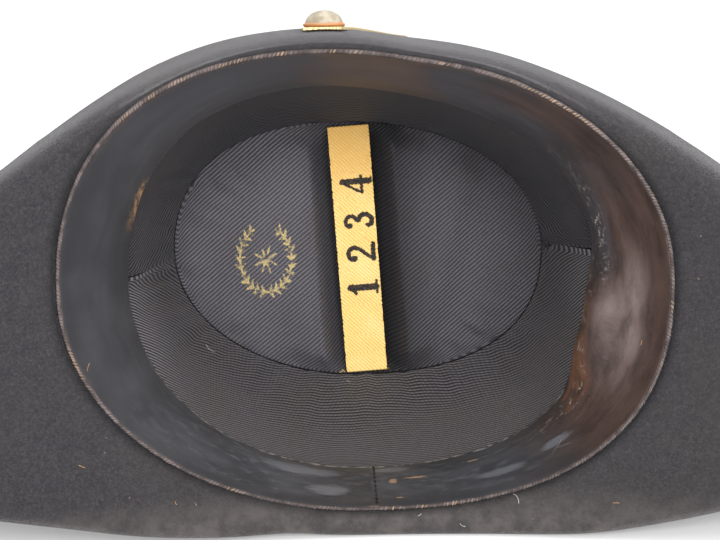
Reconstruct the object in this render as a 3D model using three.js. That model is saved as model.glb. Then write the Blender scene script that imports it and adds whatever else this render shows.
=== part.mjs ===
// A felt bicorne lying on one of its two turned-up flaps, with the head opening in front.
// Millimetres: X runs from point to point, Y from the opening into the crown, Z up from the table.
import * as THREE from "three";

const radians = THREE.MathUtils.degToRad;

// Wall thicknesses, and the clearance that sewn pieces keep from each other
const FELT = 2.2;
const LEATHER = 1.2;
const TWILL = 1;
const BRAID = 1.2;
const CLEARANCE = 0.4;

// Head opening: an oval that tips back, its crest off the middle. A lower power makes a fuller quarter.
const OPENING_LENGTH = 206;
const OPENING_WIDTH = 159;
const OPENING_HEIGHT = 88.2;
const OPENING_LEAN = radians(8);
const QUARTER_POWER = { upperLeft: 0.92, upperRight: 0.92, lowerLeft: 1, lowerRight: 0.83 };
const CREST_SHIFT = -10.5;

// Brim from the middle of the hat to a point. The folds are heights above the table, the droop is
// how far the sole between them comes forward, and each flap's height is taken from its own fold.
const BRIM_SECTIONS = [
  { x: 0, upperFold: 173, lowerFold: 0, droop: 0, foldRadius: 2.8, upperFlap: 128, lowerFlap: 146 },
  { x: 35, upperFold: 170.1, lowerFold: 0, droop: 1.6, foldRadius: 3.1, upperFlap: 126.5, lowerFlap: 144 },
  { x: 70, upperFold: 159.6, lowerFold: 0.4, droop: 6.5, foldRadius: 3.7, upperFlap: 121, lowerFlap: 137 },
  { x: 105, upperFold: 140.2, lowerFold: 6.4, droop: 12.8, foldRadius: 5, upperFlap: 110, lowerFlap: 124 },
  { x: 140, upperFold: 115, lowerFold: 16, droop: 20, foldRadius: 7, upperFlap: 92, lowerFlap: 103 },
  { x: 180, upperFold: 84.5, lowerFold: 27, droop: 29, foldRadius: 7, upperFlap: 62, lowerFlap: 68 },
  { x: 225, upperFold: 60, lowerFold: 38, droop: 40, foldRadius: 4.5, upperFlap: 12, lowerFlap: 12 },
];
const HALF_LENGTH = BRIM_SECTIONS.at(-1).x;
const POINT_ROUNDING = 20;
const UPPER_FOLD_TILT = radians(0.85);
const HEAD_NECK = 1.5;
const HEAD_TURN_RADIUS = 2.4;
const SOLE_BULGE = 10;
const UPPER_FLAP_LEAN = radians(5.5);

// Inner face of the crown, by depth behind the opening
const CROWN_SECTIONS = [
  { depth: HEAD_TURN_RADIUS + HEAD_NECK + CLEARANCE, halfLength: 103, halfWidth: 79.5, rise: 0 },
  { depth: 20, halfLength: 98, halfWidth: 78.6, rise: -1 },
  { depth: 46, halfLength: 89.6, halfWidth: 73.6, rise: -3 },
  { depth: 80, halfLength: 84.2, halfWidth: 68.5, rise: -1.5 },
  { depth: 100, halfLength: 80.4, halfWidth: 60.5, rise: 0 },
  { depth: 112, halfLength: 77.6, halfWidth: 55.2, rise: 0.5 },
  { depth: 118, halfLength: 71.5, halfWidth: 49.5, rise: 0.5 },
  { depth: 122, halfLength: 59, halfWidth: 39, rise: 0.5 },
  { depth: 124, halfLength: 38, halfWidth: 24, rise: 0.5 },
];
const CROWN_DEPTH = 124.6;
const LEVEL_DEPTH = 92;

// Outer face of the sweatband, by depth behind its stitched edge
const SWEATBAND_SECTIONS = [
  { depth: 0, halfLength: 102.6, halfWidth: 79.1, rise: 0 },
  { depth: 18, halfLength: 95, halfWidth: 75.8, rise: -1.2 },
  { depth: 34, halfLength: 88, halfWidth: 72.2, rise: -2.5 },
  { depth: 46, halfLength: 85.4, halfWidth: 71.2, rise: -3 },
];
const SWEATBAND_BUCKLE = { angle: radians(-14), width: radians(15), depth: 7 };

// Outer face of the side lining, from under the sweatband to the seam of the tip
const LINING_SECTIONS = [
  { depth: 30, halfLength: 92.6, halfWidth: 75, rise: -1.8 },
  { depth: 48, halfLength: 87.6, halfWidth: 72.8, rise: -3 },
  { depth: 80, halfLength: 82.8, halfWidth: 66.8, rise: -1.5 },
  { depth: 100, halfLength: 78.6, halfWidth: 58, rise: 0 },
  { depth: 111.4, halfLength: 76.2, halfWidth: 52.8, rise: 0.9 },
];
const LINING_SEAMS = { right: radians(5), left: radians(178) };
const LINING_FOLDS = [
  { angle: radians(203), width: radians(9), height: 2.4 },
  { angle: radians(238), width: radians(10), height: 1.6 },
  { angle: radians(300), width: radians(9), height: 2 },
  { angle: radians(331), width: radians(10), height: 2.6 },
  { angle: radians(38), width: radians(12), height: 1.8 },
  { angle: radians(140), width: radians(12), height: 1.6 },
];

// Tip of the lining: two soft lobes with a valley between them, under the ribbon
const TIP_LOBE = 8;
const TIP_VALLEY = 6;
const TIP_VALLEY_WIDTH = 22;
const RIBBON_WIDTH = 16.8;
const RIBBON_TURN = radians(-3.2);
const RIBBON_OFFSET = -0.5;
const RIBBON_END_GAP = 1.2;

// Braid strap on the upper flap, and the button on it
const BRAID_WIDTH = 15;
const BRAID_LENGTH = 112;
const BRAID_START = { x: -14.5, share: 0.02 };
const BRAID_END_X = 18;
const BUTTON_SHARE = 0.08;
const BUTTON_RADIUS = 7;
const BUTTON_HEIGHT = 5.8;
const BUTTON_EDGE = 1.4;
const BUTTON_DOME_RADIUS = 6.3;

// Steps round each piece, and rows along it
const BRIM_STEPS = 64;
const BRIM_ROWS = { neck: 1, turn: 3, sole: 5, fold: 4, flap: 5 };
const CROWN_STEPS = 48;
const SWEATBAND_STEPS = 56;
const SWEATBAND_ROWS = 6;
const LINING_STEPS = 26;
const LINING_ROWS = 6;
const TIP_RINGS = 7;
const BRAID_ROWS = 8;
const BUTTON_STEPS = 24;
const BUTTON_DOME_ROWS = 6;

const FINISHES = {
  felt: { color: 0x2b2a2d, roughness: 0.95, metalness: 0 },
  leather: { color: 0x3a3433, roughness: 0.55, metalness: 0 },
  lining: { color: 0x242327, roughness: 0.7, metalness: 0 },
  ribbon: { color: 0xd9b65c, roughness: 0.75, metalness: 0 },
  braid: { color: 0xd2b25a, roughness: 0.4, metalness: 0.9 },
  gilt: { color: 0xcfa955, roughness: 0.35, metalness: 1 },
};

const evenly = (steps) => Array.from({ length: steps + 1 }, (_, i) => i / steps);
const aroundOnce = (steps) => evenly(steps).slice(0, -1).map((share) => share * 2 * Math.PI);

// Curve through one column of a table, level at its first row and never past its rows
function smooth(table, along, column) {
  const at = table.map((row) => row[along]);
  const value = table.map((row) => row[column]);
  const last = at.length - 1;
  const rise = at.slice(1).map((place, i) => (value[i + 1] - value[i]) / (place - at[i]));
  const slope = at.map((_, i) => {
    if (i === 0) return 0;
    if (i === last) return rise[last - 1];
    const product = rise[i - 1] * rise[i];
    return product > 0 ? (2 * product) / (rise[i - 1] + rise[i]) : 0;
  });
  return (place) => {
    const next = at.findIndex((row) => row >= place);
    const i = THREE.MathUtils.clamp((next < 0 ? last : next) - 1, 0, last - 1);
    const step = at[i + 1] - at[i];
    const s = THREE.MathUtils.clamp((place - at[i]) / step, 0, 1);
    const blend = s * s * (3 - 2 * s);
    const bend = s * (1 - s) * ((1 - s) * slope[i] - s * slope[i + 1]) * step;
    return value[i] + (value[i + 1] - value[i]) * blend + bend;
  };
}

const columns = (table, along, names) =>
  Object.fromEntries(names.map((name) => [name, smooth(table, along, name)]));
const brimAt = columns(BRIM_SECTIONS, "x", [
  "upperFold", "lowerFold", "droop", "foldRadius", "upperFlap", "lowerFlap",
]);
const OVAL = ["halfLength", "halfWidth", "rise"];
const crownAt = columns(CROWN_SECTIONS, "depth", OVAL);
const sweatbandAt = columns(SWEATBAND_SECTIONS, "depth", OVAL);
const liningAt = columns(LINING_SECTIONS, "depth", OVAL);

// Oval section as [x, z]; angle 0 is at +X and a quarter turn is at the top
function oval(angle, halfLength, halfWidth) {
  const side = Math.cos(angle) < 0 ? "Left" : "Right";
  const power = QUARTER_POWER[(Math.sin(angle) < 0 ? "lower" : "upper") + side];
  const along = Math.sign(Math.cos(angle)) * Math.abs(Math.cos(angle)) ** power;
  const up = Math.sign(Math.sin(angle)) * Math.abs(Math.sin(angle)) ** power;
  const crest = CREST_SHIFT * Math.max(0, up) ** 2 * (halfWidth / (OPENING_WIDTH / 2));
  return [halfLength * along + crest, halfWidth * up];
}

const openingOval = (angle) => oval(angle, OPENING_LENGTH / 2, OPENING_WIDTH / 2);
const openingDroop = (angle) => brimAt.droop(Math.abs(openingOval(angle)[0]));

// Point on a section of the crown, in the crown's own frame with its opening at depth 0.
// The opening's two ends come forward with the brim, and the sections grow level with depth.
function crownPoint(sections, angle, depth) {
  const [x, z] = oval(angle, sections.halfLength(depth), sections.halfWidth(depth));
  const forward = openingDroop(angle) * Math.max(0, 1 - depth / LEVEL_DEPTH);
  return new THREE.Vector3(x, depth - forward, z + sections.rise(depth));
}

// Place of a point of the crown's frame in the hat's frame
const LEAN_AXIS = new THREE.Vector3(1, 0, 0);
const fromCrown = (point) =>
  point.clone().applyAxisAngle(LEAN_AXIS, -OPENING_LEAN).add(new THREE.Vector3(0, 0, OPENING_HEIGHT));

// Directions across a face, from each point's neighbours in its rings; rings close unless open
function faceNormals(rings, open) {
  const count = rings[0].length;
  const around = (i) => (open ? THREE.MathUtils.clamp(i, 0, count - 1) : (i + count) % count);
  const row = (j) => THREE.MathUtils.clamp(j, 0, rings.length - 1);
  return rings.map((ring, j) =>
    ring.map((_, i) => {
      const along = ring[around(i + 1)].clone().sub(ring[around(i - 1)]);
      const across = rings[row(j + 1)][i].clone().sub(rings[row(j - 1)][i]);
      return along.cross(across).normalize();
    }),
  );
}

// Second face of a wall, at its thickness along the first face's directions
function offsetFace(rings, thickness, open = false) {
  const normals = faceNormals(rings, open);
  const moved = (point, j, i) => point.clone().addScaledVector(normals[j][i], thickness);
  return rings.map((ring, j) => ring.map((point, i) => moved(point, j, i)));
}

// Closed solid between two faces with the same rings; a cap is the pair of points that closes the last ring
function wall(first, second, { open = false, cap = null } = {}) {
  const count = first[0].length;
  const size = first.length * count;
  const points = [...first.flat(), ...second.flat(), ...(cap ?? [])];
  const index = [];
  const quad = (a, b, c, d) => index.push(a, b, c, a, c, d);
  const spans = open ? count - 1 : count;
  const lastRow = first.length - 1;
  for (let i = 0; i < spans; i++) {
    const next = (i + 1) % count;
    for (let j = 0; j < lastRow; j++) {
      const [a, b, c, d] = [j * count + i, j * count + next, (j + 1) * count + next, (j + 1) * count + i];
      quad(a, b, c, d);
      quad(size + d, size + c, size + b, size + a);
    }
    quad(size + i, size + next, next, i);
    const [a, b] = [lastRow * count + i, lastRow * count + next];
    if (cap) index.push(a, b, 2 * size, size + b, size + a, 2 * size + 1);
    else quad(a, b, size + b, size + a);
  }
  for (let j = 0; open && j < lastRow; j++) {
    const [start, above] = [j * count, (j + 1) * count];
    quad(start, above, size + above, size + start);
    const [end, endAbove] = [start + count - 1, above + count - 1];
    quad(size + end, size + endAbove, endAbove, end);
  }
  return solid(points, index);
}

// Indexed geometry whose faces point out of the solid
function solid(points, index) {
  let volume = 0;
  for (let k = 0; k < index.length; k += 3) {
    const [a, b, c] = index.slice(k, k + 3).map((i) => points[i]);
    volume += a.dot(b.clone().cross(c));
  }
  const geometry = new THREE.BufferGeometry().setFromPoints(points);
  geometry.setIndex(volume < 0 ? index.reverse() : index);
  geometry.computeVertexNormals();
  return geometry;
}

function piece(name, geometry, finish) {
  const mesh = new THREE.Mesh(geometry, new THREE.MeshStandardMaterial(finish));
  mesh.name = name;
  return mesh;
}

// Outline of the folded brim seen from the front, as [x, z], on the line that leaves the opening at an angle
function outline(angle) {
  const along = Math.cos(angle);
  const reach = HALF_LENGTH - OPENING_LENGTH / 2;
  const x = (OPENING_LENGTH / 2) * along + reach * along ** 3;
  const overHead = Math.max(0, 1 - (x / (OPENING_LENGTH / 2)) ** 2);
  const upper = brimAt.upperFold(Math.abs(x - CREST_SHIFT * overHead)) - x * Math.tan(UPPER_FOLD_TILT);
  const lower = brimAt.lowerFold(Math.abs(x));
  const rounding = Math.sqrt(Math.max(0, 1 - Math.abs(x / HALF_LENGTH) ** POINT_ROUNDING));
  const half = ((upper - lower) / 2) * rounding;
  return [x, (upper + lower) / 2 + Math.sign(Math.sin(angle)) * half];
}

// Unit vector out of a closed curve of [x, z] points, in the plane of the curve
function outward(curve, angle) {
  const step = radians(0.5);
  const [x0, z0] = curve(angle - step);
  const [x1, z1] = curve(angle + step);
  return new THREE.Vector3(z1 - z0, 0, x0 - x1).normalize();
}

// Front of the sole at a place between the two folds
const soleY = (x, z) =>
  (z - OPENING_HEIGHT) * Math.tan(OPENING_LEAN) - brimAt.droop(Math.abs(x)) / Math.cos(OPENING_LEAN);

// Outer face of the brim: a short neck out of the crown, a small turn, the sole, the fold and the flap
function brimPoint(angle, stretch, share) {
  const quarter = (share * Math.PI) / 2;
  const [headX, headZ] = openingOval(angle);
  const head = new THREE.Vector3(headX, -openingDroop(angle), headZ);
  if (stretch === "neck") {
    head.y += HEAD_TURN_RADIUS + HEAD_NECK * (1 - share);
    return fromCrown(head);
  }
  if (stretch === "turn") {
    head.addScaledVector(outward(openingOval, angle), HEAD_TURN_RADIUS * (1 - Math.cos(quarter)));
    head.y += HEAD_TURN_RADIUS * (1 - Math.sin(quarter));
    return fromCrown(head);
  }
  const [foldX, foldZ] = outline(angle);
  const out = outward(outline, angle);
  const radius = brimAt.foldRadius(Math.abs(foldX));
  const fold = new THREE.Vector3(foldX, soleY(foldX - out.x * radius, foldZ - out.z * radius), foldZ);
  if (stretch === "sole") {
    head.addScaledVector(outward(openingOval, angle), HEAD_TURN_RADIUS);
    const start = fromCrown(head);
    const end = fold.addScaledVector(out, -radius);
    const bulge = SOLE_BULGE * Math.sin(share * Math.PI) * (start.distanceTo(end) / HALF_LENGTH);
    const point = start.lerp(end, share);
    point.y = THREE.MathUtils.lerp(point.y, soleY(point.x, point.z), Math.sin(share * Math.PI)) - bulge;
    return point;
  }
  if (stretch === "fold") {
    fold.addScaledVector(out, radius * (Math.sin(quarter) - 1));
    fold.y += radius * (1 - Math.cos(quarter));
    return fold;
  }
  const isUpper = Math.sin(angle) > 0;
  const height = (isUpper ? brimAt.upperFlap : brimAt.lowerFlap)(Math.abs(foldX));
  const lean = isUpper ? UPPER_FLAP_LEAN * Math.sin(angle) : 0;
  fold.addScaledVector(out, -share * height * Math.tan(lean));
  fold.y += radius + share * height;
  return fold;
}

function makeBrim() {
  const rows = Object.entries(BRIM_ROWS).flatMap(([stretch, steps], i) =>
    evenly(steps).slice(i ? 1 : 0).map((share) => [stretch, share]),
  );
  const angles = aroundOnce(BRIM_STEPS);
  const face = rows.map(([stretch, share]) => angles.map((angle) => brimPoint(angle, stretch, share)));
  return piece("brim", wall(face, offsetFace(face, FELT)), FINISHES.felt);
}

function makeCrown() {
  const angles = aroundOnce(CROWN_STEPS);
  const rings = CROWN_SECTIONS.map(({ depth }) => angles.map((angle) => crownPoint(crownAt, angle, depth)));
  const middle = new THREE.Vector3(0, CROWN_DEPTH, crownAt.rise(CROWN_DEPTH));
  const cap = [middle, middle.clone().setY(CROWN_DEPTH + FELT)];
  return piece("crown", wall(rings, offsetFace(rings, -FELT), { cap }), FINISHES.felt);
}

// Bell curve of the turn between two angles, whichever way round is shorter
function bell(angle, middle, width) {
  const turn = Math.atan2(Math.sin(angle - middle), Math.cos(angle - middle));
  return Math.exp(-((turn / width) ** 2));
}

// The sweatband keeps its height all round, and its free edge has buckled in at one end
function makeSweatband() {
  const { angle: buckleAngle, width: buckleWidth, depth: buckleDepth } = SWEATBAND_BUCKLE;
  const height = SWEATBAND_SECTIONS.at(-1).depth;
  const rings = evenly(SWEATBAND_ROWS).map((share) =>
    aroundOnce(SWEATBAND_STEPS).map((angle) => {
      const depth = share * height;
      const buckle = buckleDepth * bell(angle, buckleAngle, buckleWidth) * share ** 2;
      const [x, z] = oval(angle, sweatbandAt.halfLength(depth) - buckle, sweatbandAt.halfWidth(depth));
      return new THREE.Vector3(x, depth - openingDroop(angle), z + sweatbandAt.rise(depth));
    }),
  );
  return piece("sweatband", wall(rings, offsetFace(rings, LEATHER)), FINISHES.leather);
}

// Soft folds that stand in from the side lining, strongest half way up it
function liningFold(angle, depth) {
  const [bottom, top] = [LINING_SECTIONS[0].depth, LINING_SECTIONS.at(-1).depth];
  const swell = Math.sin((Math.PI * (depth - bottom)) / (top - bottom));
  const heights = LINING_FOLDS.map((fold) => fold.height * bell(angle, fold.angle, fold.width));
  return swell * heights.reduce((sum, height) => sum + height, 0);
}

function makeLiningSide(name, from, to) {
  const seam = CLEARANCE / OPENING_WIDTH;
  const angles = evenly(LINING_STEPS).map((share) => THREE.MathUtils.lerp(from + seam, to - seam, share));
  const [bottom, top] = [LINING_SECTIONS[0].depth, LINING_SECTIONS.at(-1).depth];
  const depths = evenly(LINING_ROWS).map((share) => THREE.MathUtils.lerp(bottom, top, share));
  const rings = depths.map((depth) => angles.map((angle) => crownPoint(liningAt, angle, depth)));
  const inward = faceNormals(rings, true);
  rings.forEach((ring, j) => {
    ring.forEach((point, i) => point.addScaledVector(inward[j][i], liningFold(angles[i], depths[j])));
  });
  return piece(name, wall(rings, offsetFace(rings, TWILL, true), { open: true }), FINISHES.lining);
}

// Front of the tip: level at its seam, out in a lobe on each side and back in the valley
const SEAM = LINING_SECTIONS.at(-1);
const TIP_DEPTH = SEAM.depth + CLEARANCE;
function tipPoint(angle, share) {
  const [x, z] = oval(angle, SEAM.halfLength * share, SEAM.halfWidth * share);
  const valley = Math.exp(-((x / TIP_VALLEY_WIDTH) ** 2));
  const swell = 1 - share ** 2;
  const depth = TIP_DEPTH + swell * (valley * (TIP_VALLEY + TIP_LOBE) - TIP_LOBE);
  return new THREE.Vector3(x, depth, z + SEAM.rise);
}

function makeLiningTip() {
  const rings = evenly(TIP_RINGS).slice(0, -1).map((gone) =>
    aroundOnce(CROWN_STEPS).map((angle) => tipPoint(angle, 1 - gone)),
  );
  const middle = tipPoint(0, 0);
  const cap = [middle, middle.clone().setY(middle.y + TWILL)];
  const back = rings.map((ring) => ring.map((point) => point.clone().setY(point.y + TWILL)));
  return piece("lining_tip", wall(rings, back, { cap }), FINISHES.lining);
}

// Flat ribbon drawn straight across the tip, between the walls of the side lining
function makeRibbon() {
  const length = 2 * (SEAM.halfWidth - TWILL - RIBBON_END_GAP);
  const strip = new THREE.BoxGeometry(RIBBON_WIDTH, TWILL, length);
  const ribbon = piece("number_ribbon", strip, FINISHES.ribbon);
  ribbon.position.set(RIBBON_OFFSET, TIP_DEPTH - CLEARANCE - TWILL / 2, SEAM.rise);
  ribbon.rotation.y = RIBBON_TURN;
  return ribbon;
}

// Angle of the line that crosses the middle of the upper flap at a place along X
const angleAt = (x) => Math.acos(x / (OPENING_LENGTH / 2));

// Point over the upper flap, and the direction out of the felt there
function overFlap(x, share, height) {
  const angle = angleAt(x);
  const point = brimPoint(angle, "flap", share);
  const along = brimPoint(angle - radians(1), "flap", share).sub(point);
  const up = brimPoint(angle, "flap", share + 0.01).sub(point);
  const normal = along.cross(up).normalize();
  return { point: point.addScaledVector(normal, height), normal };
}

function makeBraidLoop() {
  const endShare = BRAID_START.share + BRAID_LENGTH / BRIM_SECTIONS[0].upperFlap;
  const sides = [-BRAID_WIDTH / 2, 0, BRAID_WIDTH / 2];
  const face = (lift) =>
    evenly(BRAID_ROWS).map((share) => {
      const middle = THREE.MathUtils.lerp(BRAID_START.x, BRAID_END_X, share);
      const up = THREE.MathUtils.lerp(BRAID_START.share, endShare, share);
      return sides.map((side) => overFlap(middle + side, up, lift).point);
    });
  const strap = wall(face(CLEARANCE), face(CLEARANCE + BRAID), { open: true });
  return piece("braid_loop", strap, FINISHES.braid);
}

// Button: a flat back, an upright edge, a step in, and a dome
function makeButton() {
  const dome = evenly(BUTTON_DOME_ROWS).map((share) => {
    const quarter = (share * Math.PI) / 2;
    const up = BUTTON_EDGE + (BUTTON_HEIGHT - BUTTON_EDGE) * Math.sin(quarter);
    return new THREE.Vector2(BUTTON_DOME_RADIUS * Math.cos(quarter), up);
  });
  dome.at(-1).x = 0;
  const profile = [
    new THREE.Vector2(0, 0),
    new THREE.Vector2(BUTTON_DOME_RADIUS, 0),
    new THREE.Vector2(BUTTON_RADIUS, BUTTON_EDGE / 2),
    new THREE.Vector2(BUTTON_RADIUS, BUTTON_EDGE),
    ...dome,
  ];
  const button = piece("button", new THREE.LatheGeometry(profile, BUTTON_STEPS), FINISHES.gilt);
  const x = THREE.MathUtils.lerp(BRAID_START.x, BRAID_END_X, BUTTON_SHARE);
  const { point, normal } = overFlap(x, BUTTON_SHARE, 2 * CLEARANCE + BRAID);
  button.position.copy(point);
  button.quaternion.setFromUnitVectors(new THREE.Vector3(0, 1, 0), normal);
  return button;
}

// The crown and all that is sewn into it share the opening's lean
const crownGroup = new THREE.Group();
crownGroup.position.z = OPENING_HEIGHT;
crownGroup.rotation.x = -OPENING_LEAN;
crownGroup.add(
  makeCrown(),
  makeSweatband(),
  makeLiningSide("lining_side_upper", LINING_SEAMS.right, LINING_SEAMS.left),
  makeLiningSide("lining_side_lower", LINING_SEAMS.left, LINING_SEAMS.right + 2 * Math.PI),
  makeLiningTip(),
  makeRibbon(),
);
const hat = new THREE.Group();
hat.add(makeBrim(), crownGroup, makeBraidLoop(), makeButton());

// The origin is under the middle of the hat, on the table
const extent = new THREE.Box3().setFromObject(hat, true);
hat.position.y = -(extent.min.y + extent.max.y) / 2;
const bicorne = new THREE.Group();
bicorne.add(hat);

export default bicorne;
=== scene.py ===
# Dresses the bicorne in felt, leather, twill, ribbon and gilt, on a pale floor under soft light.
import math
import random

import bmesh
import bpy
from mathutils import Matrix, Vector, noise
from mathutils.bvhtree import BVHTree
from mathutils.kdtree import KDTree


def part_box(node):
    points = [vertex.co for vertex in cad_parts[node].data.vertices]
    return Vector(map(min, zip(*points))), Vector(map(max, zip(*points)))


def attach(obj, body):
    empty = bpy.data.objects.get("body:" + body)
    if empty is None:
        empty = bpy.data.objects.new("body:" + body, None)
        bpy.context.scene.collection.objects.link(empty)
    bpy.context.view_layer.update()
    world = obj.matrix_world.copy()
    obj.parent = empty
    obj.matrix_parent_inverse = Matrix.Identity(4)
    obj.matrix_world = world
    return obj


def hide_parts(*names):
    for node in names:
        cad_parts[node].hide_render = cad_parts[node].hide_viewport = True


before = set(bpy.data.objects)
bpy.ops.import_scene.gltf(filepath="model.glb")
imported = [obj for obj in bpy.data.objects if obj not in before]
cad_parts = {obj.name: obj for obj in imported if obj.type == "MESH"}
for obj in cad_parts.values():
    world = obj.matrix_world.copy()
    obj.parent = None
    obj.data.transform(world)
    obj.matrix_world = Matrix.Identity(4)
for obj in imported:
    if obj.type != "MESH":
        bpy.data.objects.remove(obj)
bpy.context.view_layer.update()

MM = 0.001

# Head opening, as in the part's source: its middle, and how far it tips back
OPENING_MIDDLE = Vector((0, -48.628, 88.2)) * MM
OPENING_LEAN = math.radians(8)
OPENING_HALF = (103 * MM, 79.5 * MM)
FROM_CROWN = Matrix.Translation(OPENING_MIDDLE) @ Matrix.Rotation(-OPENING_LEAN, 4, "X")
TO_CROWN = FROM_CROWN.inverted()

# Camera, aimed at the middle of the opening, which shows at this pixel of the 720 by 540 picture
PICTURE = (720, 540)
OPENING_PIXEL = (366, 283.5)
CAMERA_TURN = math.radians(-1.45)
CAMERA_RISE = math.radians(15)
CAMERA_ROLL = math.radians(1.05)
CAMERA_DISTANCE = 0.52
CAMERA_LENS = 76.5
CAMERA_SENSOR = 36

# Sweatband: rows of the source's solid, the seam that joins its ends, and its creases
BAND_HEIGHT = 46 * MM
BAND_ROWS = 6
BAND_LENGTH = 0.56
BAND_DROOP = 13 * MM
BAND_SEAM = math.radians(-88.3)
BAND_RIDGE = {"angle": math.radians(-8), "width": math.radians(32), "share": 0.66, "height": 2.6 * MM}
BAND_LIP = 1.2 * MM
BAND_LOW = {"angle": math.radians(-102), "width": math.radians(48), "shorter": 6.5 * MM}

# Side lining: where its two panels meet, and how far the weave turns along each panel
LINING_SEAMS = {"right": math.radians(5), "left": math.radians(178)}
SEAM_SLANTS = {"right": (2.4 * MM, -5.2 * MM), "left": (0, 3.4 * MM)}
LINING_DEPTHS = (30 * MM, 111.4 * MM)
PANEL_RADIUS = 76 * MM
PANEL_TURN = 0.8
PANEL_MIDDLE = 40 * MM

# Ribbon across the tip, in the crown's frame
RIBBON_SIZE = (16.8 * MM, 101.2 * MM)
RIBBON_PLACE = Vector((-0.5, 111.4, 0.9)) * MM
RIBBON_TURN = math.radians(-3.2)
RIBBON_THICKNESS = 0.7 * MM

random.seed(7)


def bell(value, middle, width):
    return math.exp(-(((value - middle) / width) ** 2))


def ease(value, low, high):
    share = min(1, max(0, (value - low) / (high - low)))
    return share * share * (3 - 2 * share)


def turn_between(angle, middle):
    return math.atan2(math.sin(angle - middle), math.cos(angle - middle))


def bell_round(angle, middle, width):
    return bell(turn_between(angle, middle), 0, width)


def humps(value, rows):
    """Sum of soft humps along a line."""
    return sum(row["height"] * bell(value, row["at"], row["width"]) for row in rows)


def swell(place, row):
    """Soft unevenness of this size and depth."""
    seed = row["seed"]
    return noise.noise(place / row["size"] + Vector((seed, 2 * seed, 3 * seed))) * row["depth"]


def round_way(angle, rise=0):
    """A point on a unit circle, so that unevenness round the crown closes on itself."""
    return Vector((math.cos(angle), math.sin(angle), rise))


def off_ribbon(x, z):
    """How far to the right of the ribbon's middle line a point of the tip lies."""
    return x - z * math.tan(RIBBON_TURN) - RIBBON_PLACE.x


# Camera at the photograph's angle
def make_camera():
    turn, rise, roll = CAMERA_TURN, CAMERA_RISE, CAMERA_ROLL
    back = Vector((math.sin(turn) * math.cos(rise), -math.cos(turn) * math.cos(rise), math.sin(rise)))
    level = Vector((math.cos(turn), math.sin(turn), 0))
    upright = back.cross(level)
    right = level * math.cos(roll) - upright * math.sin(roll)
    up = upright * math.cos(roll) + level * math.sin(roll)
    lens = bpy.data.cameras.new("camera")
    lens.lens = CAMERA_LENS
    lens.sensor_width = CAMERA_SENSOR
    lens.shift_x = (PICTURE[0] / 2 - OPENING_PIXEL[0]) / PICTURE[0]
    lens.shift_y = (OPENING_PIXEL[1] - PICTURE[1] / 2) / PICTURE[0]
    lens.clip_start = 0.01
    camera = bpy.data.objects.new("camera", lens)
    bpy.context.scene.collection.objects.link(camera)
    columns = Matrix((right, up, back)).transposed().to_4x4()
    camera.matrix_world = Matrix.Translation(OPENING_MIDDLE + back * CAMERA_DISTANCE) @ columns
    bpy.context.scene.camera = camera
    return camera


class Tone:
    """A value in a finish. Python's operators on it add Math nodes."""

    def __init__(self, finish, socket):
        self.finish = finish
        self.socket = socket

    def math(self, operation, *values):
        return self.finish.node("ShaderNodeMath", {"operation": operation}, dict(enumerate(values)))

    def __add__(self, other):
        return self.math("ADD", self, other)

    def __sub__(self, other):
        return self.math("SUBTRACT", self, other)

    def __rsub__(self, other):
        return self.math("SUBTRACT", other, self)

    def __mul__(self, other):
        return self.math("MULTIPLY", self, other)

    def __truediv__(self, other):
        return self.math("DIVIDE", self, other)

    def __pow__(self, other):
        return self.math("POWER", self, other)

    __radd__ = __add__
    __rmul__ = __mul__

    def size(self):
        return self.math("ABSOLUTE", self)

    def floor(self):
        return self.math("FLOOR", self)

    def wave(self):
        """From 0 to 1 and back once for each whole number."""
        return 0.5 - 0.5 * self.math("COSINE", self * (2 * math.pi))

    def most(self, other):
        return self.math("MAXIMUM", self, other)

    def step(self, low, high):
        """A soft step from 0 at low to 1 at high."""
        return self.finish.node(
            "ShaderNodeMapRange",
            {"interpolation_type": "SMOOTHSTEP"},
            {"Value": self, "From Min": low, "From Max": high},
        )

    def span(self, start, full, fading, stop):
        """A soft rise from start to full, and a soft fall from fading to stop."""
        return self.step(start, full) * self.step(stop, fading)


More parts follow.
